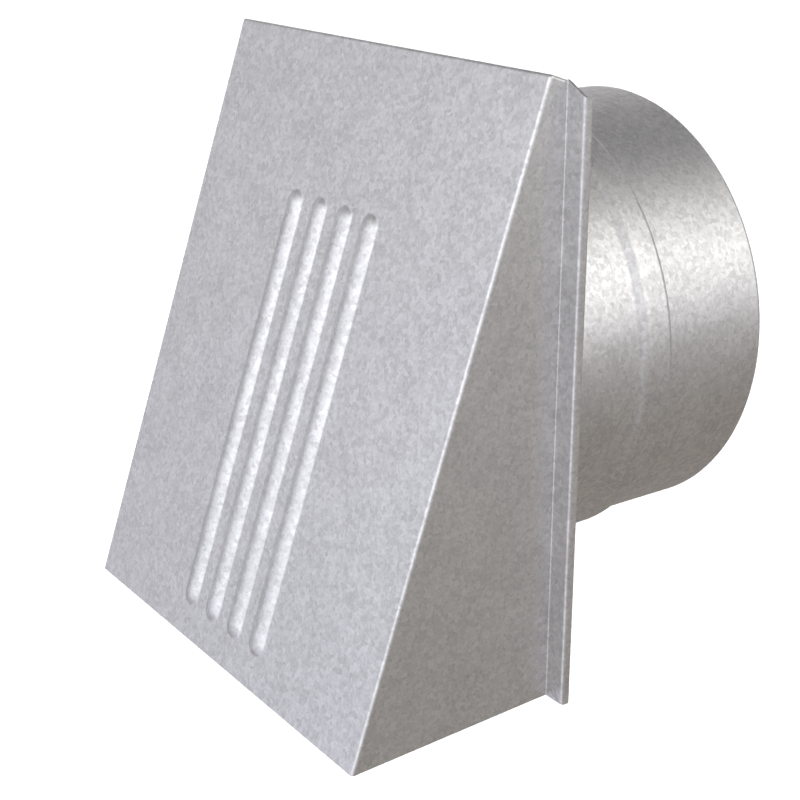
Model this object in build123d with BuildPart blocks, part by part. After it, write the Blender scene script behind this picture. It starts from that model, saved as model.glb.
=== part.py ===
from build123d import *
from math import atan2, cos, radians, sin, tan
import os

# Extract air valve: a folded wall hood on a back plate, with a duct spigot and a gravity flap.
# Millimetres, +Z up. The origin is where the duct's axis meets the wall. The hood faces -Y,
# the duct runs into the wall along +Y, and X = 0 is the plane of symmetry.

# Sheet, folds and hems
sheet = 0.7
fold_radius = 0.85
hem_radius = 1.0
hem_gap = 1.3
hem_lip = 4.0
inside_bend = 0.4

# Hood
hood_width = 140.6
hood_height = 163.6
top_depth = 4.8
bottom_depth = 60.7
cheek_bottom_rise = 2.35
flange_width = 6.65
flange_top_fall = 3.4
duct_below_top = 81.45

# Pressed ribs on the front
rib_count = 4
rib_pitch = 12.1
rib_width = 7.2
rib_height = 1.25
rib_length = 121.0
rib_start = 42.7
rib_foot_radius = 0.9

# Back plate
plate_sheet = 1.2
plate_clearance = 0.3
plate_hole_gap = 0.3
plate_corner_cut = 5.5

# Collar with a belled socket, and the tube whose flared end is held by the socket's turned-in mouth
duct_radius = 62.5
collar_flange = 5.0
bell_radius = 64.2
bell_start = 32.1
bell_cone = 2.0
bell_bend = 0.7
bell_end = 42.95
mouth_turn = 0.95
mouth_length = 1.13
tube_end = 77.3
tube_edge_length = 0.4
tube_edge_turn = 0.3
flare_gap = 0.05
flare_end = 38.5
mouth_clearance = 0.3

# Flap, its seat inside the tube, and its hinge
seat_tilt = radians(5)
seat_distance = 52.0
seat_rim = 8.0
seat_fit = 0.05
opening_radius = 55.5
opening_top = 41.0
opening_corner = 3.0
flap_radius = 58.0
flap_top = 42.8
flap_gap = 0.3
pin_height = 46.0
pin_radius = 1.5
pin_head_radius = 2.4
pin_head = 1.0
barrel_gap = 0.1
ear_inside = 29.0
ear_play = 0.5
ear_round = 2.9
ear_hole_gap = 0.05

# Worked-out places of the hood
half_width = hood_width / 2
half_outer = half_width + flange_width
flange_front = -(2 * sheet + hem_gap)
flange_back = flange_front + sheet
top_y = flange_front - top_depth
bottom_y = flange_front - bottom_depth
top_z = duct_below_top
bottom_z = top_z - hood_height
cheek_bottom_z = bottom_z + cheek_bottom_rise
slope = atan2(bottom_depth - top_depth, hood_height)
flange_top_z = top_z - top_depth * tan(slope)
roof_back_z = top_z - (flange_back - top_y) * tan(slope)
end_cut = flange_top_fall / flange_width
hem_top_z = flange_top_z - flange_top_fall
lip_top_z = hem_top_z + flange_back * end_cut

os.makedirs("parts", exist_ok=True)


# Hood: a wedge, rounded at its folds, then hollowed to sheet from the back and from below
with BuildPart() as hood_shell:
    with BuildSketch(Plane.YZ):
        with BuildLine():
            Polyline(
                (top_y, top_z),
                (bottom_y, bottom_z),
                (flange_front, cheek_bottom_z),
                (flange_back, cheek_bottom_z),
                (flange_back, roof_back_z),
                close=True,
            )
        make_face()
    extrude(amount=half_width, both=True)
    front = hood_shell.faces().sort_by(Axis.Y)[0]
    roof = hood_shell.faces().sort_by(Axis.Z)[-1]
    folds = front.edges().sort_by(Axis.Z)[1:] + roof.edges().filter_by(Axis.X, reverse=True)
    fillet(folds, fold_radius)
    open_back = hood_shell.faces().sort_by(Axis.Y)[-1]
    open_bottom = hood_shell.faces().filter_by(lambda face: face.normal_at().Z < -0.9)
    offset(amount=-sheet, openings=[open_back] + open_bottom)

# Side flanges, hemmed round the edges of the back plate. The slope of their top ends runs on round the hems,
# as the blank was cut in one line before it was folded.
with BuildPart() as side_flanges:
    with BuildSketch(Plane.XY.offset(cheek_bottom_z)):
        with BuildLine():
            Polyline(
                (half_width, flange_front - fold_radius),
                (half_width, flange_front),
                (half_outer, flange_front),
                (half_outer, 0),
                (half_outer - hem_lip, 0),
                (half_outer - hem_lip, -sheet),
                (half_outer - sheet, -sheet),
                (half_outer - sheet, flange_back),
                (half_width - sheet, flange_back),
                (half_width - sheet, flange_front - fold_radius),
                close=True,
            )
        make_face()
        fillet(vertices().group_by(Axis.X)[1].sort_by(Axis.Y)[-1], inside_bend)
        fillet(vertices().group_by(Axis.X)[-2], hem_radius - sheet)
        fillet(vertices().group_by(Axis.X)[-1], hem_radius)
        mirror(about=Plane.YZ)
    extrude(amount=hood_height)
    with BuildSketch(Plane.XZ):
        with BuildLine():
            Polyline(
                (-half_outer, cheek_bottom_z),
                (half_outer, cheek_bottom_z),
                (half_outer, hem_top_z),
                (half_width, flange_top_z),
                (-half_width, flange_top_z),
                (-half_outer, hem_top_z),
                close=True,
            )
        make_face()
    extrude(amount=bottom_depth, both=True, mode=Mode.INTERSECT)
    with BuildSketch(Plane.YZ):
        with BuildLine():
            Polyline((flange_back, hem_top_z), (0, lip_top_z), (0, top_z), (flange_back, top_z), close=True)
        make_face()
    extrude(amount=half_outer, both=True, mode=Mode.SUBTRACT)
    with BuildSketch(Plane.XZ):
        with BuildLine():
            Polyline(
                (half_outer, lip_top_z),
                (half_outer - hem_lip, lip_top_z - hem_lip * end_cut),
                (half_outer - hem_lip, top_z),
                (half_outer, top_z),
                close=True,
            )
        make_face()
        mirror(about=Plane.YZ)
    extrude(amount=sheet, mode=Mode.SUBTRACT)
    with BuildSketch(Plane.YZ):
        with BuildLine():
            Polyline(
                (top_y, top_z),
                (flange_back, roof_back_z),
                (flange_back, top_z),
                close=True,
            )
        make_face()
    extrude(amount=half_width, both=True, mode=Mode.SUBTRACT)

# A rib is a round-ended bulge of the sheet: the part of a long capsule that stands out of the front
rib_curve = ((rib_width / 2) ** 2 + rib_height**2) / (2 * rib_height)
rib_sink = rib_curve - rib_height
rib_straight = rib_length - rib_width
rib_middle = rib_start + rib_length / 2
front_normal = Vector(0, -cos(slope), sin(slope))
rib_middle_point = Vector(0, top_y - rib_middle * sin(slope), top_z - rib_middle * cos(slope))
rib_plane = Plane(rib_middle_point, x_dir=(1, 0, 0), z_dir=front_normal)


def rib_bulge(curve, depth):
    """One rib's bulge, of one surface of the sheet, over a plane at a depth under the front."""
    with BuildPart() as bulge:
        with BuildSketch(Plane.XY.offset(-rib_sink)):
            SlotCenterToCenter(rib_straight, 2 * curve, rotation=90)
            Rectangle(curve, 2 * rib_length, align=(Align.MIN, Align.CENTER), mode=Mode.INTERSECT)
        revolve(axis=Axis((0, 0, -rib_sink), (0, 1, 0)))
        split(bisect_by=Plane.XY.offset(-depth))
    return bulge.part


with BuildPart() as hood:
    add(hood_shell.part)
    add(side_flanges.part)
    with Locations(rib_plane):
        with GridLocations(rib_pitch, 0, rib_count, 1):
            add(rib_bulge(rib_curve, sheet))
            add(rib_bulge(rib_curve - sheet, 2 * sheet), mode=Mode.SUBTRACT)
    front_face = hood.faces().filter_by(Axis((0, 0, 0), front_normal)).sort_by(Axis.Y)[0]
    fillet(front_face.inner_wires().edges(), rib_foot_radius)
hood.part.label = "hood"
export_step(hood.part, "parts/hood.step")

# Back plate: flat sheet held in the hood's hems, with a round hole for the collar
plate_back = -sheet
plate_front = plate_back - plate_sheet
plate_half = half_outer - sheet - plate_clearance
plate_corner = half_width - plate_corner_cut
plate_shoulder = end_cut * (plate_half - plate_corner)
with BuildPart() as back_plate:
    with BuildSketch(Plane.XZ.offset(-plate_back)):
        with BuildLine():
            Polyline(
                (-plate_half, cheek_bottom_z),
                (plate_half, cheek_bottom_z),
                (plate_half, roof_back_z - plate_shoulder),
                (plate_corner, roof_back_z),
                (-plate_corner, roof_back_z),
                (-plate_half, roof_back_z - plate_shoulder),
                close=True,
            )
        make_face()
        Circle(duct_radius + plate_hole_gap, mode=Mode.SUBTRACT)
    extrude(amount=plate_sheet)
back_plate.part.label = "back_plate"
export_step(back_plate.part, "parts/back_plate.step")

# Collar: turned out over the plate at the front, belled at the back, with the bell's mouth turned in.
# Outside, the bends of the bell's cone are eased in one step.
collar_front = plate_front - sheet
cone_slope = atan2(bell_radius - duct_radius, bell_cone)
cone_shift = sheet * tan(cone_slope / 2)
duct_bore = duct_radius - sheet
bell_bore = bell_radius - sheet
mouth_slope = atan2(mouth_turn, mouth_length)
mouth_bend = bell_end - mouth_length
mouth_bend_inside = mouth_bend - sheet * tan(mouth_slope / 2)
mouth_radius = bell_radius - mouth_turn
with BuildPart() as collar:
    with BuildSketch():
        with BuildLine():
            Polyline(
                (duct_bore, collar_front),
                (duct_radius + collar_flange, collar_front),
                (duct_radius + collar_flange, plate_front),
                (duct_radius, plate_front),
                (duct_radius, bell_start),
                (bell_radius, bell_start + bell_cone),
                (bell_radius, mouth_bend),
                (mouth_radius, bell_end),
                (mouth_radius - sheet * cos(mouth_slope), bell_end - sheet * sin(mouth_slope)),
                (bell_bore, mouth_bend_inside),
                (bell_bore, bell_start + bell_cone + cone_shift),
                (duct_bore, bell_start + cone_shift),
                close=True,
            )
        make_face()
        cone_foot = vertices().sort_by_distance((duct_radius, bell_start))[0]
        cone_head = vertices().sort_by_distance((bell_radius, bell_start + bell_cone))[0]
        chamfer([cone_foot, cone_head], bell_bend)
    revolve(axis=Axis.Y)
collar.part.label = "collar"
export_step(collar.part, "parts/collar.step")

# Duct tube: its front end is flared to fit the bell, and narrows to the duct's size through the bell's mouth.
# Its far edge is eased, so that a duct slides on.
flare_radius = bell_bore - flare_gap
flare_bore = flare_radius - sheet
flare_front = bell_start + bell_cone + cone_shift + flare_gap
narrow_end = bell_end + mouth_clearance
narrow_slope = atan2(flare_radius - duct_radius, narrow_end - flare_end)
narrow_shift = sheet * tan(narrow_slope / 2)
with BuildPart() as duct_tube:
    with BuildSketch():
        with BuildLine():
            Polyline(
                (flare_bore, flare_front),
                (flare_radius, flare_front),
                (flare_radius, flare_end),
                (duct_radius, narrow_end),
                (duct_radius, tube_end - tube_edge_length),
                (duct_radius - tube_edge_turn, tube_end),
                (duct_bore, tube_end),
                (duct_bore, narrow_end - narrow_shift),
                (flare_bore, flare_end - narrow_shift),
                close=True,
            )
        make_face()
    revolve(axis=Axis.Y)
duct_tube.part.label = "duct_tube"
export_step(duct_tube.part, "parts/duct_tube.step")

# Flap seat: a leaning plate with a rim along the tube wall, a D-shaped opening and two bent ears
seat_plane = Plane((0, seat_distance, 0), x_dir=(1, 0, 0), z_dir=(0, -cos(seat_tilt), sin(seat_tilt)))
seat_radius = duct_bore - seat_fit
barrel_radius = pin_radius + barrel_gap + sheet
pin_stand_off = flap_gap + barrel_radius
pin_point = seat_plane.from_local_coords((0, pin_height, pin_stand_off))
hinge_plane = Plane(pin_point, x_dir=seat_plane.z_dir, z_dir=(1, 0, 0))
ear_outside = ear_inside + sheet
ear_reach = pin_stand_off + ear_round


def leaning_disc(radius, front_plane, thickness):
    """A disc that fills the round tube but lies between two leaning planes."""
    with BuildPart() as disc:
        with BuildSketch(Plane.XZ):
            Circle(radius)
        extrude(amount=-tube_end)
        with BuildSketch(front_plane):
            Rectangle(4 * duct_radius, 4 * duct_radius)
        extrude(amount=-thickness, mode=Mode.INTERSECT)
    return disc.part


with BuildPart() as flap_seat:
    add(leaning_disc(seat_radius, seat_plane, seat_rim))
    add(leaning_disc(seat_radius - sheet, seat_plane.offset(-sheet), seat_rim), mode=Mode.SUBTRACT)
    with BuildSketch(seat_plane):
        Circle(opening_radius)
        with Locations((0, opening_top)):
            Rectangle(2 * opening_radius, opening_radius, align=(Align.CENTER, Align.MIN), mode=Mode.SUBTRACT)
        fillet(vertices(), opening_corner)
    extrude(amount=-2 * sheet, mode=Mode.SUBTRACT)
    with BuildSketch(seat_plane):
        with Locations((ear_outside + ear_reach / 2, pin_height), (-ear_outside - ear_reach / 2, pin_height)):
            Rectangle(ear_reach, 2 * ear_round)
    extrude(amount=-2 * sheet, mode=Mode.SUBTRACT)
    for side in (-1, 1):
        with BuildSketch(hinge_plane.offset(side * ear_inside)):
            Circle(ear_round)
            Rectangle(pin_stand_off + sheet, 2 * ear_round, align=(Align.MAX, Align.CENTER))
            Circle(pin_radius + ear_hole_gap, mode=Mode.SUBTRACT)
        extrude(amount=side * sheet)
flap_seat.part.label = "flap_seat"
export_step(flap_seat.part, "parts/flap_seat.step")

# Flap: a round blade with its top edge rolled into a barrel round the pin
barrel_length = 2 * (ear_inside - ear_play)
with BuildPart() as flap:
    with BuildSketch(seat_plane.offset(flap_gap)):
        Circle(flap_radius)
        with Locations((0, flap_top)):
            Rectangle(2 * flap_radius, flap_radius, align=(Align.CENTER, Align.MIN), mode=Mode.SUBTRACT)
            Rectangle(barrel_length, pin_height - flap_top, align=(Align.CENTER, Align.MIN))
    extrude(amount=sheet)
    with BuildSketch(hinge_plane):
        Circle(barrel_radius)
        Circle(barrel_radius - sheet, mode=Mode.SUBTRACT)
    extrude(amount=barrel_length / 2, both=True)
flap.part.label = "flap"
export_step(flap.part, "parts/flap.step")

# Hinge pin: headed at both ends outside the ears
with BuildPart() as hinge_pin:
    with BuildSketch(hinge_plane):
        Circle(pin_radius)
    extrude(amount=ear_outside, both=True)
    for side in (-1, 1):
        with BuildSketch(hinge_plane.offset(side * ear_outside)):
            Circle(pin_head_radius)
        extrude(amount=side * pin_head)
hinge_pin.part.label = "hinge_pin"
export_step(hinge_pin.part, "parts/hinge_pin.step")
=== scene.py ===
from math import atan2, cos, radians, sin, tan

import bmesh
import bpy
from mathutils import Matrix, Vector


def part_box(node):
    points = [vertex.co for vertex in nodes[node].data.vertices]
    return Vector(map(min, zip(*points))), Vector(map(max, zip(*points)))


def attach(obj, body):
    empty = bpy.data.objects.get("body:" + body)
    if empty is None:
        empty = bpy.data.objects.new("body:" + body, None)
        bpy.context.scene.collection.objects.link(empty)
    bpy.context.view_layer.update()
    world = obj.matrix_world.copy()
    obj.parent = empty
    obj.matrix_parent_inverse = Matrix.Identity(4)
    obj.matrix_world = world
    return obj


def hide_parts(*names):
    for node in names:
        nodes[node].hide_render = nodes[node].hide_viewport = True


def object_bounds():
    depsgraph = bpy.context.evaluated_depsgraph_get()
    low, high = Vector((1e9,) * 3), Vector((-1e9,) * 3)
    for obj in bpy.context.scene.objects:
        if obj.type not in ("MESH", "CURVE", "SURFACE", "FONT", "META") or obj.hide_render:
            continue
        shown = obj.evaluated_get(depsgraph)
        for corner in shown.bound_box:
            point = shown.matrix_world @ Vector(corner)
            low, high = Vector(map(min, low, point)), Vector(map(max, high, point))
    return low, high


# An extract air valve for an outside wall: galvanised sheet, folded into a hood over a round duct spigot.
# Everything is in metres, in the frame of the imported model: the hood faces -Y, and +Z is up.

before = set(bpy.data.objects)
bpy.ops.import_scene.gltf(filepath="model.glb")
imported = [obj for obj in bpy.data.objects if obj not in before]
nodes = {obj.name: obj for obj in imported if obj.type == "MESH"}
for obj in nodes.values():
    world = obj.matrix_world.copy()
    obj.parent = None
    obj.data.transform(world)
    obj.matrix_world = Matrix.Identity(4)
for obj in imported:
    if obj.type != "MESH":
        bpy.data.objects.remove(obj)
cad_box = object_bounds()

MM = 0.001

# Camera, at the photograph's viewing angle: where it stands, and its direction from the valve in degrees
CAMERA_PLACE = (0.34493, -0.24047, 0.13249)
CAMERA_AZIMUTH = 55.14
CAMERA_ELEVATION = 19.82
CAMERA_LENS = 70.73
CAMERA_SENSOR = 36.0
CAMERA_NEAR = 0.01
CAMERA_FAR = 100.0

# Duct tube: its sheet, its places along the duct, and its far edge, which is turned in a little
SHEET = 0.7 * MM
DUCT_RADIUS = 62.5 * MM
FLARE_END = 38.5 * MM
NARROW_END = 43.25 * MM
FAR_EDGE_LENGTH = 0.85 * MM
FAR_EDGE_TURN = 0.34 * MM
TUBE_SIDES = 256

# Rounding of the round pieces: name, width, the least angle that is rounded, and the steps of the rounding
WELD_DISTANCE = 0.001 * MM
CUT_EDGE = ("cut_edge_round", 0.15 * MM, radians(60), 6)
BEND = ("bend_round", 0.6 * MM, radians(17), 3)
TURNED_EDGE = ("turned_edge_round", 0.1 * MM, radians(15), 3)
FLAT_FACE_WEIGHT = 100

# Room light: share of the height, from straight down at 0 to straight up at 1, and colour
ROOM_BELOW = (0.20, (0.28, 0.255, 0.23, 1.0))
ROOM_LEVEL = (0.55, (0.405, 0.395, 0.41, 1.0))
ROOM_ABOVE = (0.85, (0.20, 0.195, 0.195, 1.0))
ROOM_STRENGTH = 1.015

# Softboxes: name, azimuth, elevation, half width and half height in degrees, and colour
SOFTBOXES = (
    ("front", 18, 22, 44, 20, (1.20, 1.22, 1.28)),
    ("front_left", -37, 6, 11, 20, (0.14, 0.147, 0.173)),
    ("low_front", -20, -23, 40, 21, (0.32, 0.335, 0.435)),
    ("low_right", 8, -22, 16, 12, (0.40, 0.40, 0.41)),
    ("right_high", 90, 40, 25, 20, (0.25, 0.23, 0.20)),
    ("back_right", 124, 25, 24, 17, (1.29, 1.28, 1.25)),
    ("back_left", -125, 15, 30, 14, (0.20, 0.19, 0.19)),
)

# Floor, its lamp, and the backdrop
FLOOR_DROP = 0.60
FLOOR_RADIUS = 10.0
FLOOR_SIDES = 96
FLOOR_LAMP_STRENGTH = 2.6
FLOOR_LAMP_SPREAD = radians(40)
BACKDROP_RADIUS = 9.0
BACKDROP_SIDES = 64
BACKDROP_RINGS = 32


def to_linear(hex_colour):
    """An sRGB hex colour as linear red, green, blue and alpha."""
    channels = [int(hex_colour[i : i + 2], 16) / 255 for i in (1, 3, 5)]
    return [c / 12.92 if c <= 0.04045 else ((c + 0.055) / 1.055) ** 2.4 for c in channels] + [1.0]


def add_node(tree, kind, inputs=None, **settings):
    """Adds a node to a tree. An input is a value, or the output of another node, which is linked."""
    node = tree.nodes.new(kind)
    for name, value in settings.items():
        setattr(node, name, value)
    for key, value in (inputs or {}).items():
        if isinstance(value, bpy.types.NodeSocket):
            tree.links.new(value, node.inputs[key])
        else:
            node.inputs[key].default_value = value
    return node


def new_material(name):
    """An empty material and its node tree."""
    material = bpy.data.materials.new(name)
    material.use_nodes = True
    material.node_tree.nodes.clear()
    return material, material.node_tree


def hot_dip_galvanised_steel():
    """Steel sheet coated in a bath of zinc, which freezes into small crystals. Each crystal mirrors a
    little more or less than the next, so the sheet has a fine soft mottle under a dull metal shine."""
    crystal = 1.3 * MM
    grit = 0.8 * MM
    cloud = 12 * MM
    relief_height = 0.008 * MM
    crystal_share = 0.5
    cloud_share = 0.4
    darkest_mottle, brightest_mottle = 0.45, 1.45
    dull, shiny = 0.38, 0.32
    material, tree = new_material("hot_dip_galvanised_steel")
    place = add_node(tree, "ShaderNodeTexCoord").outputs["Object"]
    # Each place is shifted by up to one crystal, so that the crystals have ragged edges
    shift = add_node(tree, "ShaderNodeTexNoise", {"Vector": place, "Scale": 1 / crystal, "Detail": 1.0})
    shifted_place = add_node(
        tree,
        "ShaderNodeVectorMath",
        {0: shift.outputs["Color"], 1: (crystal, crystal, crystal), 2: place},
        operation="MULTIPLY_ADD",
    )
    crystals = add_node(
        tree, "ShaderNodeTexVoronoi", {"Vector": shifted_place.outputs["Vector"], "Scale": 1 / crystal}
    )
    shine = add_node(tree, "ShaderNodeSeparateColor", {"Color": crystals.outputs["Color"]}).outputs["Red"]
    grains = add_node(tree, "ShaderNodeTexNoise", {"Vector": place, "Scale": 1 / grit, "Detail": 2.0})
    clouds = add_node(tree, "ShaderNodeTexNoise", {"Vector": place, "Scale": 1 / cloud, "Detail": 2.0})
    fine_mottle = add_node(
        tree,
        "ShaderNodeMath",
        {0: shine, 1: crystal_share, 2: grains.outputs["Fac"]},
        operation="MULTIPLY_ADD",
    )
    mottle = add_node(
        tree,
        "ShaderNodeMath",
        {0: clouds.outputs["Fac"], 1: cloud_share, 2: fine_mottle.outputs["Value"]},
        operation="MULTIPLY_ADD",
    ).outputs["Value"]
    brightness = add_node(
        tree,
        "ShaderNodeMapRange",
        {"Value": mottle, "From Min": darkest_mottle, "From Max": brightest_mottle},
    )
    colour = add_node(tree, "ShaderNodeValToRGB", {"Fac": brightness.outputs["Result"]})
    colour.color_ramp.elements[0].color = to_linear("#cccccc")
    colour.color_ramp.elements[1].color = to_linear("#fafafa")
    roughness = add_node(tree, "ShaderNodeMapRange", {"Value": shine, "To Min": dull, "To Max": shiny})
    relief = add_node(
        tree, "ShaderNodeBump", {"Height": mottle, "Strength": 1.0, "Distance": relief_height}
    )
    shader = add_node(
        tree,
        "ShaderNodeBsdfPrincipled",
        {
            "Base Color": colour.outputs["Color"],
            "Metallic": 1.0,
            "Roughness": roughness.outputs["Result"],
            "Normal": relief.outputs["Normal"],
        },
    )
    add_node(tree, "ShaderNodeOutputMaterial", {"Surface": shader.outputs["BSDF"]})
    return material


def mill_finish_aluminium():
    """Rolled aluminium sheet as it leaves the mill: pale, softly shiny, with faint rolling lines up its
    height. Real lines are finer than a pixel, so they are drawn coarser here, to show."""
    line = 0.35 * MM
    line_length = 25 * MM
    relief_height = 0.01 * MM
    relief_strength = 0.2
    shiny, dull = 0.28, 0.42
    material, tree = new_material("mill_finish_aluminium")
    place = add_node(tree, "ShaderNodeTexCoord").outputs["Object"]
    stretched = add_node(
        tree, "ShaderNodeMapping", {"Vector": place, "Scale": (1 / line, 1 / line, 1 / line_length)}
    )
    lines = add_node(
        tree, "ShaderNodeTexNoise", {"Vector": stretched.outputs["Vector"], "Scale": 1.0, "Detail": 3.0}
    ).outputs["Fac"]
    colour = add_node(tree, "ShaderNodeValToRGB", {"Fac": lines})
    colour.color_ramp.elements[0].color = to_linear("#dcdcdc")
    colour.color_ramp.elements[1].color = to_linear("#efefee")
    roughness = add_node(tree, "ShaderNodeMapRange", {"Value": lines, "To Min": shiny, "To Max": dull})
    relief = add_node(
        tree, "ShaderNodeBump", {"Height": lines, "Strength": relief_strength, "Distance": relief_height}
    )
    shader = add_node(
        tree,
        "ShaderNodeBsdfPrincipled",
        {
            "Base Color": colour.outputs["Color"],
            "Metallic": 1.0,
            "Roughness": roughness.outputs["Result"],
            "Normal": relief.outputs["Normal"],
        },
    )
    add_node(tree, "ShaderNodeOutputMaterial", {"Surface": shader.outputs["BSDF"]})
    return material


def zinc_plated_wire():
    """Drawn steel wire with a thin bright zinc plating: darker than the sheet, with fine drawing marks
    along it. Real marks are finer, and are drawn coarser here, to show close up."""
    mark = 0.12 * MM
    mark_length = 8 * MM
    material, tree = new_material("zinc_plated_wire")
    place = add_node(tree, "ShaderNodeTexCoord").outputs["Object"]
    stretched = add_node(
        tree, "ShaderNodeMapping", {"Vector": place, "Scale": (1 / mark_length, 1 / mark, 1 / mark)}
    )
    marks = add_node(
        tree, "ShaderNodeTexNoise", {"Vector": stretched.outputs["Vector"], "Scale": 1.0, "Detail": 2.0}
    )
    colour = add_node(tree, "ShaderNodeValToRGB", {"Fac": marks.outputs["Fac"]})
    colour.color_ramp.elements[0].color = to_linear("#b4b5b8")
    colour.color_ramp.elements[1].color = to_linear("#d8d9db")
    shader = add_node(
        tree,
        "ShaderNodeBsdfPrincipled",
        {"Base Color": colour.outputs["Color"], "Metallic": 1.0, "Roughness": 0.28},
    )
    add_node(tree, "ShaderNodeOutputMaterial", {"Surface": shader.outputs["BSDF"]})
    return material


def matt_white_board():
    """Painted board for the floor: white, without shine."""
    material, tree = new_material("matt_white_board")
    shader = add_node(
        tree,
        "ShaderNodeBsdfPrincipled",
        {"Base Color": to_linear("#f4f4f4"), "Roughness": 0.95, "Specular IOR Level": 0.1},
    )
    add_node(tree, "ShaderNodeOutputMaterial", {"Surface": shader.outputs["BSDF"]})
    return material


def lit_white_cloth():
    """Backdrop cloth lit from behind, so that it is an even white."""
    material, tree = new_material("lit_white_cloth")
    glow = add_node(tree, "ShaderNodeEmission", {"Color": to_linear("#ffffff"), "Strength": 1.0})
    add_node(tree, "ShaderNodeOutputMaterial", {"Surface": glow.outputs["Emission"]})
    return material


def dress(node_names, material):
    """Gives CAD nodes a material."""
    for name in node_names:
        slots = nodes[name].data.materials
        slots.clear()
        slots.append(material)


def place_in_scene(name, data):
    """A new object in the scene that shows a mesh, a lamp or a camera."""
    shown = bpy.data.objects.new(name, data)
    bpy.context.scene.collection.objects.link(shown)
    return shown


def mesh_piece(name, shape, material):
    """A new object in the scene with the mesh of a bmesh, which is then freed."""
    mesh = bpy.data.meshes.new(name)
    shape.to_mesh(mesh)
    shape.free()
    mesh.materials.append(material)
    return place_in_scene(name, mesh)


def round_edges(piece, roundings):
    """Rounds the edges and bends of a piece, as rolled sheet is. CAD faces are joined first."""
    weld = piece.modifiers.new("join_faces", "WELD")
    weld.merge_threshold = WELD_DISTANCE
    for name, width, least_angle, steps in roundings:
        bevel = piece.modifiers.new(name, "BEVEL")
        bevel.width = width
        bevel.segments = steps
        bevel.limit_method = "ANGLE"
        bevel.angle_limit = least_angle
    normals = piece.modifiers.new("flat_faces_lead", "WEIGHTED_NORMAL")
    normals.keep_sharp = False
    normals.weight = FLAT_FACE_WEIGHT


def spigot_tube(material):
    """The plain tube behind the bell, spun from its section. It has the form of the CAD tube, but its far
    edge is turned in more gently, as a roller leaves it, and shows as a thin dark line."""
    low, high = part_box("duct_tube")
    flare_radius = high.x
    bend_shift = SHEET * tan(atan2(flare_radius - DUCT_RADIUS, NARROW_END - FLARE_END) / 2)
    section = (
        (flare_radius - SHEET, low.y),
        (flare_radius, low.y),
        (flare_radius, FLARE_END),
        (DUCT_RADIUS, NARROW_END),
        (DUCT_RADIUS, high.y - FAR_EDGE_LENGTH),
        (DUCT_RADIUS - FAR_EDGE_TURN, high.y),
        (DUCT_RADIUS - SHEET, high.y),
        (DUCT_RADIUS - SHEET, NARROW_END - bend_shift),
        (flare_radius - SHEET, FLARE_END - bend_shift),
    )
    shape = bmesh.new()
    corners = [shape.verts.new((radius, along, 0)) for radius, along in section]
    outline = [shape.edges.new(ends) for ends in zip(corners, corners[1:] + corners[:1])]
    bmesh.ops.spin(
        shape,
        geom=corners + outline,
        cent=(0, 0, 0),
        axis=(0, 1, 0),
        angle=radians(360),
        steps=TUBE_SIDES,
        use_merge=True,
    )
    bmesh.ops.recalc_face_normals(shape, faces=shape.faces)
    for face in shape.faces:
        face.smooth = True
    tube = mesh_piece("spigot_tube", shape, material)
    round_edges(tube, (TURNED_EDGE,))
    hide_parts("duct_tube")
    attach(tube, "casing")


def direction(azimuth, elevation):
    """The direction from the valve at an azimuth and an elevation in degrees. Azimuth 0 is in front of the
    hood, and 90 is to the right of it as seen from there."""
    a, e = radians(azimuth), radians(elevation)
    return Vector((sin(a) * cos(e), -cos(a) * cos(e), sin(e)))


def studio_light():
    """Soft light from all round: brightest level with the hood, dim and warm from below, with softboxes."""
    world = bpy.data.worlds.new("studio_light")
    bpy.context.scene.world = world
    world.use_nodes = True
    tree = world.node_tree
    tree.nodes.clear()
    towards = add_node(tree, "ShaderNodeTexCoord").outputs["Generated"]
    height = add_node(tree, "ShaderNodeSeparateXYZ", {"Vector": towards}).outputs["Z"]
    height_share = add_node(
        tree, "ShaderNodeMapRange", {"Value": height, "From Min": -1.0, "From Max": 1.0}
    )
    room = add_node(tree, "ShaderNodeValToRGB", {"Fac": height_share.outputs["Result"]})
    tones = room.color_ramp.elements
    tones[0].position, tones[0].color = ROOM_BELOW
    tones[1].position, tones[1].color = ROOM_ABOVE
    level_share, level_colour = ROOM_LEVEL
    tones.new(level_share).color = level_colour
    light = room.outputs["Color"]
    # A softbox is brightest at its middle and half as bright at its half width and its half height
    for name, azimuth, elevation, half_width, half_height, colour in SOFTBOXES:
        across = 2 * sin(radians(half_width) / 2)
        along = sin(radians(half_height))
        offset = add_node(
            tree,
            "ShaderNodeVectorMath",
            {0: towards, 1: direction(azimuth, elevation)},
            operation="SUBTRACT",
        )
        spread = add_node(
            tree,
            "ShaderNodeVectorMath",
            {0: offset.outputs["Vector"], 1: (1 / across, 1 / across, 1 / along)},
            operation="MULTIPLY",
        ).outputs["Vector"]
        halvings = add_node(
            tree, "ShaderNodeVectorMath", {0: spread, 1: spread}, operation="DOT_PRODUCT"
        )
        share = add_node(
            tree, "ShaderNodeMath", {0: 0.5, 1: halvings.outputs["Value"]}, operation="POWER", name=name
        )
        glow = add_node(
            tree, "ShaderNodeVectorMath", {0: colour, "Scale": share.outputs["Value"]}, operation="SCALE"
        )
        light = add_node(
            tree, "ShaderNodeVectorMath", {0: light, 1: glow.outputs["Vector"]}, operation="ADD"
        ).outputs["Vector"]
    background = add_node(tree, "ShaderNodeBackground", {"Color": light, "Strength": ROOM_STRENGTH})
    add_node(tree, "ShaderNodeOutputWorld", {"Surface": background.outputs["Background"]})


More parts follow.
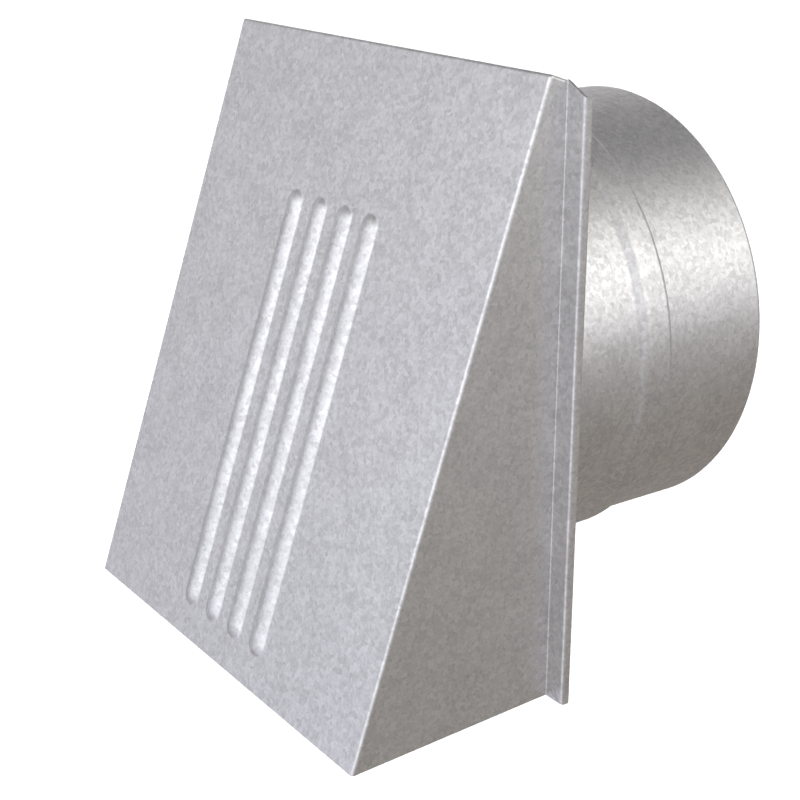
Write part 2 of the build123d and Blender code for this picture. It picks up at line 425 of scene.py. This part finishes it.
def floor_lamp():
    """A soft overhead lamp that whitens the floor and isn't mirrored in the metal."""
    lamp = bpy.data.lights.new("floor_lamp", "SUN")
    lamp.energy = FLOOR_LAMP_STRENGTH
    lamp.angle = FLOOR_LAMP_SPREAD
    place_in_scene("floor_lamp", lamp).visible_glossy = False


def stage_piece(name, build, material):
    """A piece of the stage, made by a bmesh call, which the metal doesn't mirror."""
    shape = bmesh.new()
    build(shape)
    piece = mesh_piece(name, shape, material)
    piece.visible_glossy = False
    return piece


def floor_and_backdrop():
    """A round pale floor well under the valve, which hangs on a wall in use, and a white dome round it."""
    level = Matrix.Translation((0, 0, cad_box[0].z - FLOOR_DROP))
    stage_piece(
        "floor",
        lambda shape: bmesh.ops.create_circle(
            shape, cap_ends=True, segments=FLOOR_SIDES, radius=FLOOR_RADIUS, matrix=level
        ),
        matt_white_board(),
    )
    dome = stage_piece(
        "backdrop",
        lambda shape: bmesh.ops.create_uvsphere(
            shape,
            u_segments=BACKDROP_SIDES,
            v_segments=BACKDROP_RINGS,
            radius=BACKDROP_RADIUS,
            matrix=level,
        ),
        lit_white_cloth(),
    )
    dome.visible_diffuse = False
    dome.visible_shadow = False


def photo_camera():
    """The camera, looking at the valve from its right and a little above."""
    data = bpy.data.cameras.new("photo_camera")
    data.lens = CAMERA_LENS
    data.sensor_width = CAMERA_SENSOR
    data.clip_start = CAMERA_NEAR
    data.clip_end = CAMERA_FAR
    camera = place_in_scene("photo_camera", data)
    camera.location = CAMERA_PLACE
    ahead = -direction(CAMERA_AZIMUTH, CAMERA_ELEVATION)
    camera.rotation_mode = "QUATERNION"
    camera.rotation_quaternion = ahead.to_track_quat("-Z", "Y")
    bpy.context.scene.camera = camera


galvanised = hot_dip_galvanised_steel()
dress(["hood", "back_plate", "collar", "flap_seat"], galvanised)
dress(["flap"], mill_finish_aluminium())
dress(["hinge_pin"], zinc_plated_wire())
round_edges(nodes["collar"], (CUT_EDGE, BEND))
spigot_tube(galvanised)

studio_light()
floor_lamp()
floor_and_backdrop()
photo_camera()
bpy.context.scene.view_settings.view_transform = "Standard"
